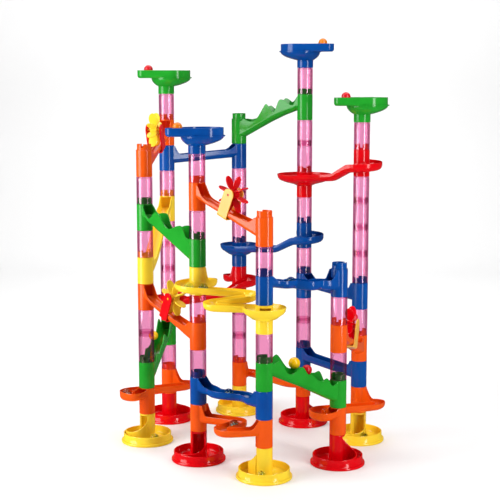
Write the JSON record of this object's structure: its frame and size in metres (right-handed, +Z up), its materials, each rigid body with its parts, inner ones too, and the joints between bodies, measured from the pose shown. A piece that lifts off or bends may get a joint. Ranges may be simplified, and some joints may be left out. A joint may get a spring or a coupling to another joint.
{
  "type": "marble run",
  "caption": "Ring of stacked clear tubes and open chutes on round trays, with loops, waves, paddle wheels and funnel bowls, that marbles roll down.",
  "frame": {"origin": "middle of the footprint's bounding box, on the floor under the trays", "axes": "+Z up, the columns stand along it; -Y towards the side with the snake chute and the wave chute that carries two marbles; +X to the right of that side"},
  "size_m": [0.461, 0.4704, 0.6839],
  "materials": {
    "orange_plastic": "glossy injection moulded",
    "green_plastic": "glossy injection moulded",
    "blue_plastic": "glossy injection moulded",
    "yellow_plastic": "glossy injection moulded",
    "red_plastic": "glossy injection moulded",
    "amber_plastic": "glossy injection moulded",
    "clear_pink_plastic": "clear, glossy injection moulded",
    "marble_glass": "clear glass with a coloured swirl"
  },
  "bodies": {
    "run": {"wave_chute_f_g": "green_plastic", "level_chute_g_h": "blue_plastic", "windmill_chute_h_a": "orange_plastic", "wave_chute_a_b": "green_plastic", "slide_chute_h_a": "yellow_plastic", "windmill_chute_a_b": "orange_plastic", "lane_chute_b_c": "yellow_plastic", "windmill_chute_b_c": "orange_plastic", "step_loop_chute_e_f": "red_plastic", "step_loop_chute_f_g": "blue_plastic", "snake_chute_c_d": "blue_plastic", "level_chute_f_e_upper": "blue_plastic", "windmill_chute_d_e": "orange_plastic", "wave_chute_c_d": "green_plastic", "level_chute_f_e_lower": "blue_plastic", "loop_chute_d_e": "orange_plastic", "loop_chute_f_g": "orange_plastic", "bend_chute_b_c": "blue_plastic", "zigzag_chute_c_b": "orange_plastic", "step_loop_chute_g_h": "red_plastic", "wave_chute_h_a": "green_plastic", "loop_chute_a_h": "orange_plastic", "clear_tube_a_2": "clear_pink_plastic", "clear_tube_a_6": "clear_pink_plastic", "clear_tube_b_4": "clear_pink_plastic", "clear_tube_b_7": "clear_pink_plastic", "clear_tube_d_2": "clear_pink_plastic", "clear_tube_e_5": "clear_pink_plastic", "clear_tube_f_2": "clear_pink_plastic", "clear_tube_f_5": "clear_pink_plastic", "clear_tube_f_9": "clear_pink_plastic", "clear_tube_g_1": "clear_pink_plastic", "clear_tube_g_6": "clear_pink_plastic", "clear_tube_h_1": "clear_pink_plastic", "clear_tube_h_4": "clear_pink_plastic", "base_a": "yellow_plastic", "base_b": "red_plastic", "base_c": "yellow_plastic", "base_d": "red_plastic", "base_e": "yellow_plastic", "base_f": "red_plastic", "base_g": "yellow_plastic", "base_h": "red_plastic", "bowl_h": "green_plastic", "bowl_b": "blue_plastic", "bowl_e": "green_plastic", "bowl_f": "blue_plastic", "windmill_bracket_h_a": "red_plastic", "windmill_bracket_a_b": "red_plastic", "windmill_bracket_b_c": "amber_plastic", "windmill_bracket_d_e": "amber_plastic"},
    "windmill_wheel_h_a": {"windmill_wheel_h_a": "yellow_plastic"},
    "windmill_wheel_a_b": {"windmill_wheel_a_b": "yellow_plastic"},
    "windmill_wheel_b_c": {"windmill_wheel_b_c": "red_plastic"},
    "windmill_wheel_d_e": {"windmill_wheel_d_e": "red_plastic"},
    "ball_h": {"ball_h": "red_plastic"},
    "ball_b": {"ball_b": "amber_plastic"},
    "ball_e": {"ball_e": "red_plastic"},
    "ball_f": {"ball_f": "amber_plastic"}
  },
  "joints": [
    {"name": "windmill_h_a_spin", "type": "hinge", "parent": "run", "child": "windmill_wheel_h_a", "pos_m": [-0.17046, 0.05922, 0.529], "axis": [0.9783, -0.2073, 0], "continuous": true},
    {"name": "windmill_a_b_spin", "type": "hinge", "parent": "run", "child": "windmill_wheel_a_b", "pos_m": [-0.13246, -0.05791, 0.259], "axis": [0.7431, 0.6691, 0], "continuous": true},
    {"name": "windmill_b_c_spin", "type": "hinge", "parent": "run", "child": "windmill_wheel_b_c", "pos_m": [-0.03275, -0.15284, 0.439], "axis": [0.6428, 0.766, 0], "continuous": true},
    {"name": "windmill_d_e_spin", "type": "hinge", "parent": "run", "child": "windmill_wheel_d_e", "pos_m": [0.159, -0.05183, 0.214], "axis": [-0.9455, 0.3256, 0], "continuous": true},
    {"name": "ball_h_lift", "type": "slide", "parent": "run", "child": "ball_h", "axis": [0, 0, 1], "range_m": [0, 0.06]},
    {"name": "ball_b_lift", "type": "slide", "parent": "run", "child": "ball_b", "axis": [0, 0, 1], "range_m": [0, 0.06]},
    {"name": "ball_e_lift", "type": "slide", "parent": "run", "child": "ball_e", "axis": [0, 0, 1], "range_m": [0, 0.06]},
    {"name": "ball_f_lift", "type": "slide", "parent": "run", "child": "ball_f", "axis": [0, 0, 1], "range_m": [0, 0.06]}
  ]
}
